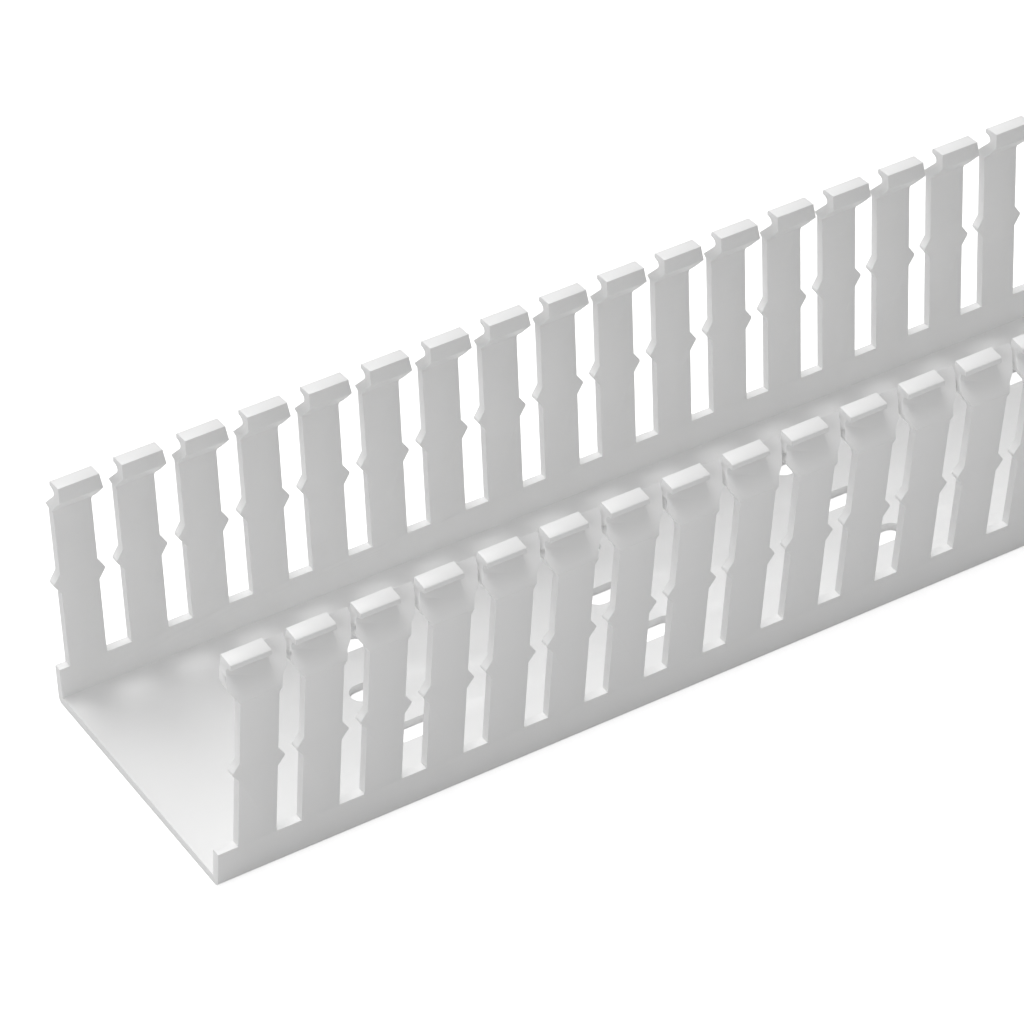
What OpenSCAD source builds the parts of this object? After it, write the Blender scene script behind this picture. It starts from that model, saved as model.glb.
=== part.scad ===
// Slotted wiring duct, channel only: one rigid PVC extrusion with punched side walls.
// X runs along the duct, Y across it, Z up. The underside of the base stands on Z = 0.

/* [Channel] */
// Length of the cut piece, a whole number of pitches (mm)
duct_length = 1000; // [250:12.5:2000]
// Outer width across the base (mm)
base_width = 57; // [30:0.5:120]
// Height of the side walls, measured along the wall (mm)
wall_height = 49; // [30:0.5:100]
// Outward lean of each side wall (degrees)
wall_lean = 4.4; // [0:0.1:8]
// Thickness of the base (mm)
base_thickness = 1.8; // [1.2:0.1:3]
// Thickness of the side walls (mm)
wall_thickness = 1.8; // [1.2:0.1:3]
// Radius of the outer bottom corners (mm)
corner_radius = 1.2; // [0.4:0.1:1.6]

/* [Punched slots] */
// Distance from one slot to the next (mm)
slot_pitch = 12.5; // [10:0.5:25]
// Width of a slot between two fingers (mm)
slot_width = 5; // [3:0.1:10]
// Height of the unpunched strip under the slots (mm)
sill_height = 8; // [4:0.5:15]
// Distance from the cut end to the middle of the first slot (mm)
first_slot = 1.45; // [0:0.05:2.5]

// How far the rear wall's slots are set towards the near end (mm)
rear_slot_offset = -1.9; // [-3:0.1:3]

/* [Finger heads] */
// Height above which the fingers widen to the head (mm)
neck_height = 41.2; // [25:0.1:90]
// Height over which the finger widens (mm)
head_taper = 1.5; // [1:0.1:5]
// How far a head reaches past each side of its finger (mm)
head_overhang = 0.6; // [0.2:0.1:2]
// Height at which the outer face starts to slope inwards (mm)
slope_height = 42.6; // [26:0.1:92]
// Depth of the snap recess behind the outer face (mm)
recess_depth = 5.1; // [3:0.1:7]
// Height of the deepest line of the snap recess (mm)
recess_height = 47.4; // [30:0.1:98]
// Radius of the bottom of the snap recess (mm)
recess_radius = 0.9; // [0.3:0.1:1.5]
// Distance of the snap nose behind the outer face (mm)
nose_setback = 2.75; // [0.5:0.05:4]
// Thickness of the snap nose at its edge (mm)
nose_thickness = 1.1; // [0.6:0.1:2]
// Radius of the snap nose's upper edge (mm)
nose_radius = 0.5; // [0.2:0.1:1]
// Depth of the head's inner face behind the outer face (mm)
head_depth = 6.1; // [4:0.1:8]
// How far the front wall's heads spread over the next slot (mm)
wing_reach = 4.1; // [0.6:0.1:4.4]

/* [Wire retaining nubs] */
// Height of the nubs above the underside (mm)
nub_height = 26; // [15:0.5:60]
// How far a nub stands into the slot (mm)
nub_projection = 1.3; // [0.5:0.1:2]
// Height of a nub where it leaves the finger (mm)
nub_root = 4.2; // [2:0.1:6]
// Radius of the nub's tip (mm)
nub_tip_radius = 0.7; // [0.3:0.1:1]

/* [Base perforation] */
// Distance from one group of fixing slots to the next (mm)
hole_pitch = 50; // [25:12.5:100]
// Distance from the cut end to the middle of the first group (mm)
first_hole = 49; // [10:0.5:60]
// Length of a fixing slot, end to end (mm)
hole_length = 11; // [6:0.5:20]
// Width of a fixing slot (mm)
hole_width = 4.6; // [4:0.1:8]
// Distance from the middle row to each outer row of fixing slots (mm)
hole_row_offset = 13; // [8:0.5:40]

/* [Hidden] */
$fn = 48;
half = base_width / 2;
slots = floor(duct_length / slot_pitch) + 1;
side_reach = half + 20;
groups = floor((duct_length - first_hole - hole_length) / hole_pitch) + 1;
top = wall_height + 5;
side = slot_width / 2;
slope = recess_depth / (recess_height - slope_height);
bend_height = neck_height + 0.4;

// Points of the fillet of radius r that rounds the corner b between a and c, in n steps.
function direction(a, b) = (b - a) / norm(b - a);
function fillet(a, b, c, r, n = 3) =
    let (
        p = direction(b, a),
        q = direction(b, c),
        half_turn = acos(p * q) / 2,
        middle = b + direction([0, 0], p + q) * r / sin(half_turn),
        first = b + p * r / tan(half_turn) - middle,
        sweep = (p[0] * q[1] - p[1] * q[0] > 0 ? -1 : 1) * (180 - 2 * half_turn)
    )
    [for (i = [0 : n]) let (t = sweep * i / n)
        middle + [first[0] * cos(t) - first[1] * sin(t), first[0] * sin(t) + first[1] * cos(t)]];

// Outline of one side wall, upright, from its outer face over the snap nose and down its inner face.
// The first coordinate runs outwards from the outer face, the second up along the wall.
slope_start = [0, slope_height];
recess_bottom = [-recess_depth, recess_height];
nose_lower = [-nose_setback, wall_height - nose_thickness];
nose_upper = [-nose_setback, wall_height];
head_inner = [-head_depth, wall_height];
wall_outline = concat(
    [slope_start],
    fillet(slope_start, recess_bottom, nose_lower, recess_radius),
    [nose_lower],
    fillet(nose_lower, nose_upper, head_inner, nose_radius, 2),
    [
        head_inner,
        [-head_depth, bend_height + head_depth - wall_thickness],
        [-wall_thickness, bend_height],
        [-wall_thickness, base_thickness / cos(wall_lean) - wall_thickness * tan(wall_lean)]
    ]
);

// A point of the upright outline once the wall leans outwards from the bottom outer corner.
function lean(p) = [
    half + p[0] * cos(wall_lean) + p[1] * sin(wall_lean),
    p[1] * cos(wall_lean) - p[0] * sin(wall_lean)
];
corner = [for (i = [0 : 4]) let (a = -90 + i * 90 / 4)
    [half - corner_radius + corner_radius * cos(a), corner_radius + corner_radius * sin(a)]];
right_side = concat(corner, [for (p = wall_outline) lean(p)]);

// Upper parts of a slot's edges, from the finger's side up past the top of the head, for the finger before the
// slot and for the one after it. The rear wall's heads are plain. On the front wall the narrow gap slants, so
// that each head spreads over the next slot as a thin wing.
rear_before = [
    [-side, neck_height],
    [-side + head_overhang, neck_height + head_taper],
    [-side + head_overhang, neck_height + 3 * head_taper],
    [-side, wall_height],
    [-side, top]
];
rear_after = [
    [side, neck_height],
    [side - head_overhang, neck_height + head_taper],
    [side - head_overhang, top]
];
wing_knee = wing_reach * 0.66;
front_before = [
    [-side, neck_height + 0.3],
    [-side + wing_knee / 2, neck_height + 1.7 * head_taper],
    [-side + wing_knee, neck_height + 2.5 * head_taper],
    [-side + wing_reach - 0.1, recess_height],
    [-side + wing_reach, wall_height],
    [-side + wing_reach, top]
];
front_after = [
    [side, neck_height + 1],
    [side - 2 * head_overhang, neck_height + 2.1 * head_taper],
    [side - 2 * head_overhang, neck_height + 2.6 * head_taper],
    [side - head_overhang, neck_height + 3.4 * head_taper],
    [side - 0.6 * head_overhang, recess_height],
    [side - 0.6 * head_overhang, top]
];

module duct_section() {
    polygon(concat(
        right_side,
        [for (i = [len(right_side) - 1 : -1 : 0]) [-right_side[i][0], right_side[i][1]]]
    ));
}

// One slot with its nubs, centred on x = 0, between the heads' edges.
module slot(before, after) {
    difference() {
        polygon(concat(
            [[before[0][0], sill_height]],
            before,
            [for (i = [len(after) - 1 : -1 : 0]) after[i]],
            [[side, sill_height]]
        ));
        nub_outline();
        mirror([1, 0])
            nub_outline();
    }
}

module nub_outline() {
    tip_x = slot_width / 2 - nub_projection + nub_tip_radius;
    flank = nub_tip_radius * 0.7;
    translate([0, nub_height]) {
        polygon([
            [slot_width, -nub_root / 2],
            [slot_width / 2, -nub_root / 2],
            [tip_x - flank, -flank],
            [tip_x - flank, flank],
            [slot_width / 2, nub_root / 2],
            [slot_width, nub_root / 2]
        ]);
        translate([tip_x, 0])
            circle(r = nub_tip_radius);
    }
}

// All slots of one wall. The saw passes through the first slot, so only its far side is left.
module slot_row(before, after) {
    slot([[-slot_width, top]], after);
    translate([-slot_width, sill_height])
        square([slot_width, top]);
    for (i = [1 : slots - 1])
        translate([i * slot_pitch, 0])
            slot(before, after);
}

// The slots of one wall, cut across from y_from over the wall.
module punched_row(y_from, offset, before, after) {
    translate([-duct_length / 2 + first_slot + offset, y_from + side_reach, 0])
        rotate([90, 0, 0])
            linear_extrude(height = side_reach)
                slot_row(before, after);
}

// Room above the front wall's wings: there the sloping face runs on up to the inner face, without a nose.
module wing_relief() {
    rise = wall_height - slope_height + 2;
    room = [
        lean([0.02, slope_height]),
        lean([-rise * slope - 0.1, slope_height + rise]),
        lean([5, slope_height + rise])
    ];
    for (i = [0 : slots - 1])
        translate([-duct_length / 2 + first_slot + i * slot_pitch - side, 0, 0])
            rotate([90, 0, 90])
                linear_extrude(height = wing_reach + 0.1)
                    polygon([for (p = room) [-p[0], p[1]]]);
}

module fixing_slot() {
    straight = hole_length - hole_width;
    square([straight, hole_width], center = true);
    for (end = [-1, 1])
        translate([end * straight / 2, 0])
            circle(d = hole_width);
}

module fixing_slots() {
    for (i = [0 : groups - 1])
        for (row = [-1 : 1])
            translate([first_hole + i * hole_pitch, row * hole_row_offset])
                fixing_slot();
}

module duct_channel() {
    color([0.93, 0.93, 0.93])
        difference() {
            rotate([90, 0, 90])
                translate([0, 0, -duct_length / 2])
                    linear_extrude(height = duct_length)
                        duct_section();
            punched_row(-side_reach, 0, front_before, front_after);
            punched_row(0, rear_slot_offset, rear_before, rear_after);
            wing_relief();
            translate([-duct_length / 2, 0, -1])
                linear_extrude(height = base_thickness + 2)
                    fixing_slots();
        }
}

duct_channel();
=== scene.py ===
# Slotted wiring duct in white PVC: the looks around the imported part.
# X runs along the duct, Y across it and Z up, in metres.
import bpy
import math
from mathutils import Matrix, Vector


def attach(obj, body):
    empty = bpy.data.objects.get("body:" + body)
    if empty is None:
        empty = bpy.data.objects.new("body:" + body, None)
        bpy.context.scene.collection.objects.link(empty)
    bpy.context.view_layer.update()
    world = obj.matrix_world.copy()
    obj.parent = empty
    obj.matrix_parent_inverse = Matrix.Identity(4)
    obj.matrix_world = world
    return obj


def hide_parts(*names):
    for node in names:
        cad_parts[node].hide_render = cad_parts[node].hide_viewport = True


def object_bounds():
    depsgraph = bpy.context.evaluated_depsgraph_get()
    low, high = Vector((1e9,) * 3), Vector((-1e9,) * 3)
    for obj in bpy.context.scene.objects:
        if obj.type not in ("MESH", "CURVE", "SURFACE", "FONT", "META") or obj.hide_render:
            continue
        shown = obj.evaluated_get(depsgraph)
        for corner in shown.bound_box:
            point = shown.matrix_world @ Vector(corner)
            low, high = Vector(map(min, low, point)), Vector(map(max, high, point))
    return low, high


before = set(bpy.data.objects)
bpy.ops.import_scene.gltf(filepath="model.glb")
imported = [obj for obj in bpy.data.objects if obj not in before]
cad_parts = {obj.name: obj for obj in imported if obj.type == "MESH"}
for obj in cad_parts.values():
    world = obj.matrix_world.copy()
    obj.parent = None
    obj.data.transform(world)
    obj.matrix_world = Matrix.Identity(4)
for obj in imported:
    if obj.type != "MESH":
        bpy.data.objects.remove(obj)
cad_low, cad_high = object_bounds()

MM = 0.001
DUCT = "duct_channel"
WHITE = (1, 1, 1, 1)


# ---------------------------------------------------------------- shader nodes

class Sock:
    """A shader socket that adds a Math node for each step it is calculated with."""

    def __init__(self, nodes, value):
        self.nodes, self.value = nodes, value

    def _math(self, operation, *values):
        return self.nodes.add("ShaderNodeMath", dict(operation=operation), dict(enumerate(values)))

    def __add__(self, other): return self._math("ADD", self, other)
    def __radd__(self, other): return self._math("ADD", other, self)
    def __sub__(self, other): return self._math("SUBTRACT", self, other)
    def __rsub__(self, other): return self._math("SUBTRACT", other, self)
    def __mul__(self, other): return self._math("MULTIPLY", self, other)
    def __rmul__(self, other): return self._math("MULTIPLY", other, self)
    def __abs__(self): return self._math("ABSOLUTE", self)


class Nodes:
    """The node tree of one material or of the world."""

    def __init__(self, owner):
        owner.use_nodes = True
        self.tree = owner.node_tree
        self.tree.nodes.clear()

    def add(self, kind, settings=None, inputs=None, out=0):
        """Adds a node, sets its properties, sets or links its inputs, and gives its output."""
        node = self.tree.nodes.new(kind)
        for name, value in (settings or {}).items():
            setattr(node, name, value)
        for name, value in (inputs or {}).items():
            if isinstance(value, Sock):
                self.tree.links.new(value.value, node.inputs[name])
            else:
                node.inputs[name].default_value = value
        return Sock(self, node.outputs[out])

    def noise(self, scale, detail=2.0, roughness=0.5, stretch=(1, 1, 1)):
        """Noise around 0.5 on the object's own metres, which stretch multiplies per axis."""
        here = self.add("ShaderNodeTexCoord", out="Object")
        place = self.add("ShaderNodeMapping", dict(vector_type="POINT"), dict(Vector=here, Scale=stretch))
        inputs = dict(Vector=place, Scale=scale, Detail=detail, Roughness=roughness)
        return self.add("ShaderNodeTexNoise", dict(noise_dimensions="3D"), inputs)

    def rise(self, value, low, high):
        """0 below low, 1 above high and eased between them."""
        settings = dict(interpolation_type="SMOOTHSTEP", clamp=True)
        return self.add("ShaderNodeMapRange", settings, {"Value": value, "From Min": low, "From Max": high})

    def finish(self, shader, kind="ShaderNodeOutputMaterial"):
        output = self.tree.nodes.new(kind)
        self.tree.links.new(shader.value, output.inputs["Surface"])


# ---------------------------------------------------------------- white PVC

def white_pvc():
    """Extruded white PVC: satin walls with faint draw lines along the duct, and duller cut faces that also
    carry a little painted light, as if lit from the side.
    """
    white, satin = 0.83, 0.42
    # painted light: how much lighter the faces whose normal runs along X are painted, standing in for light
    # from the side
    cut_face_painted_light, cut_dullness = 0.012, 0.20
    relief_depth, relief_strength = 0.03 * MM, 0.35

    material = bpy.data.materials.new("white_pvc")
    n = Nodes(material)
    normal = n.add("ShaderNodeTexCoord", out="Normal")
    along = n.add("ShaderNodeSeparateXYZ", inputs=dict(Vector=normal), out="X")
    cut = n.rise(abs(along), 0.55, 0.8)

    draw = n.noise(9.0, 3.0, 0.55, (0.6, 130, 130))
    fine = n.noise(26.0, 2.0, 0.5, (0.8, 150, 150))
    cloud = n.noise(14.0, 3.0)
    grain = n.noise(2600.0, 2.0, 0.6)
    chatter = n.noise(60.0, 3.0, 0.6, (30, 30, 4))

    # the cut term is painted light: X-facing cut faces get a slightly lighter tone in place of the side
    # light falling on them
    tone = white + (cloud - 0.5) * 0.016 + (draw - 0.5) * 0.010 + cut * cut_face_painted_light
    colour = n.add(
        "ShaderNodeCombineColor", dict(mode="RGB"),
        dict(Red=tone, Green=tone, Blue=tone * 0.998),
    )
    rough = satin + (draw - 0.5) * 0.10 + (grain - 0.5) * 0.05 + cut * cut_dullness
    height = (1 - cut) * (draw * 0.7 + fine * 0.3) + cut * chatter * 0.8 + grain * 0.12
    relief = n.add(
        "ShaderNodeBump",
        inputs=dict(Strength=relief_strength, Distance=relief_depth, Height=height),
    )
    n.finish(n.add("ShaderNodeBsdfPrincipled", inputs={
        "Base Color": colour, "Roughness": rough, "Normal": relief, "IOR": 1.53,
        "Subsurface Weight": 0.06, "Subsurface Scale": 2 * MM, "Subsurface Radius": (1.0, 0.95, 0.9),
    }))
    return material


# ---------------------------------------------------------------- the duct

def only(obj):
    """Deselects all, then makes obj the selected and active object."""
    bpy.ops.object.select_all(action="DESELECT")
    obj.select_set(True)
    bpy.context.view_layer.objects.active = obj


def soft_edged_duct():
    """A copy of the channel whose edges are slightly rounded, as on the real plastic."""
    edge_width = 0.14 * MM
    same_place = 0.002 * MM
    flat, sharp, smooth = map(math.radians, (0.5, 35, 30))

    only(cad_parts[DUCT])
    bpy.ops.object.duplicate()
    duct = bpy.context.view_layer.objects.active
    duct.name = duct.data.name = "duct_wall"
    duct.data.materials.clear()
    only(duct)
    bpy.ops.object.mode_set(mode="EDIT")
    bpy.ops.mesh.select_all(action="SELECT")
    bpy.ops.mesh.remove_doubles(threshold=same_place)
    bpy.ops.mesh.dissolve_limited(angle_limit=flat)
    bpy.ops.object.mode_set(mode="OBJECT")
    edges = duct.modifiers.new("edges", "BEVEL")
    edges.width = edge_width
    edges.segments = 2
    edges.limit_method = "ANGLE"
    edges.angle_limit = sharp
    bpy.ops.object.modifier_apply(modifier=edges.name)
    bpy.ops.object.shade_smooth_by_angle(angle=smooth)
    return duct


duct = soft_edged_duct()
duct.data.materials.append(white_pvc())
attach(duct, "root")
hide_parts(DUCT)


# ---------------------------------------------------------------- floor, light and camera

def light_path(n):
    """1 on rays from the camera, and 1 on rays that a surface mirrors or lets through."""
    camera_ray = n.add("ShaderNodeLightPath", out="Is Camera Ray")
    glossy = n.add("ShaderNodeLightPath", out="Is Glossy Ray")
    through = n.add("ShaderNodeLightPath", out="Is Transmission Ray")
    return camera_ray, glossy + through


def studio_floor():
    """Pale paper under the duct that shows as white and keeps a faint shadow."""
    width, paper_white = 12, 0.8
    seen_glow, mirrored_glow = 0.62, 0.24

    bpy.ops.mesh.primitive_plane_add(size=width, location=(0, 0, cad_low.z))
    floor = bpy.context.active_object
    floor.name = "studio_floor"
    material = bpy.data.materials.new("studio_floor")
    n = Nodes(material)
    seen, mirrored = light_path(n)
    strength = seen * seen_glow + mirrored * mirrored_glow
    paper = n.add("ShaderNodeBsdfDiffuse", inputs=dict(Color=(paper_white, paper_white, paper_white, 1)))
    glow = n.add("ShaderNodeEmission", inputs=dict(Color=WHITE, Strength=strength))
    n.finish(n.add("ShaderNodeAddShader", inputs={0: paper, 1: glow}))
    floor.data.materials.append(material)


def studio_world():
    """White where it is seen or mirrored, and a softer dome of light on the duct."""
    dome_strength = 0.38

    world = bpy.data.worlds.new("studio")
    bpy.context.scene.world = world
    n = Nodes(world)
    seen, mirrored = light_path(n)
    white = n.add("ShaderNodeBackground", inputs=dict(Color=WHITE, Strength=1.0))
    dome = n.add("ShaderNodeBackground", inputs=dict(Color=WHITE, Strength=dome_strength))
    shown = n.add("ShaderNodeMixShader", inputs={0: seen + mirrored, 1: dome, 2: white})
    n.finish(shown, "ShaderNodeOutputWorld")


def lamp(name, place, target, size, watts):
    """A square soft box at place that looks at target."""
    data = bpy.data.lights.new(name, "AREA")
    data.shape = "SQUARE"
    data.size = size
    data.energy = watts
    box = bpy.data.objects.new(name, data)
    bpy.context.collection.objects.link(box)
    box.location = place
    box.rotation_euler = (Vector(target) - Vector(place)).to_track_quat("-Z", "Y").to_euler()


def camera():
    """A long lens above the near end that looks along the duct; angles in degrees, lens and sensor in mm."""
    azimuth, elevation, roll = map(math.radians, (-32.56, 39.23, 0.375))
    aim = Vector((-0.425, -0.001, 0.025))
    distance = 0.9007
    slide_right, slide_up = 0.001356, 0.004883
    lens, sensor = 178.72, 36
    nearest, farthest = 0.05, 50

    toward = Vector((
        math.sin(azimuth) * math.cos(elevation),
        -math.cos(azimuth) * math.cos(elevation),
        math.sin(elevation),
    ))
    right = Vector((math.cos(azimuth), math.sin(azimuth), 0))
    up = toward.cross(right)
    rolled_right = right * math.cos(roll) + up * math.sin(roll)
    rolled_up = up * math.cos(roll) - right * math.sin(roll)
    place = aim + rolled_right * slide_right + rolled_up * slide_up + toward * distance

    data = bpy.data.cameras.new("camera")
    data.lens, data.sensor_width = lens, sensor
    data.clip_start, data.clip_end = nearest, farthest
    view = bpy.data.objects.new("camera", data)
    bpy.context.collection.objects.link(view)
    turn = Matrix((rolled_right, rolled_up, toward)).transposed().to_4x4()
    view.matrix_world = Matrix.Translation(place) @ turn
    bpy.context.scene.camera = view


studio_floor()
studio_world()
lamp("key_box", place=(-0.55, 1.06, 2.0), target=(-0.35, 0, 0), size=1.2, watts=20)
lamp("top_box", place=(-0.6, 0.5, 2.2), target=(-0.2, 0, 0), size=1.6, watts=11)
lamp("side_box", place=(-2.09, -0.81, 0.99), target=(-0.3, 0, 0.02), size=1.0, watts=6.5)
camera()
bpy.context.scene.view_settings.view_transform = "Standard"
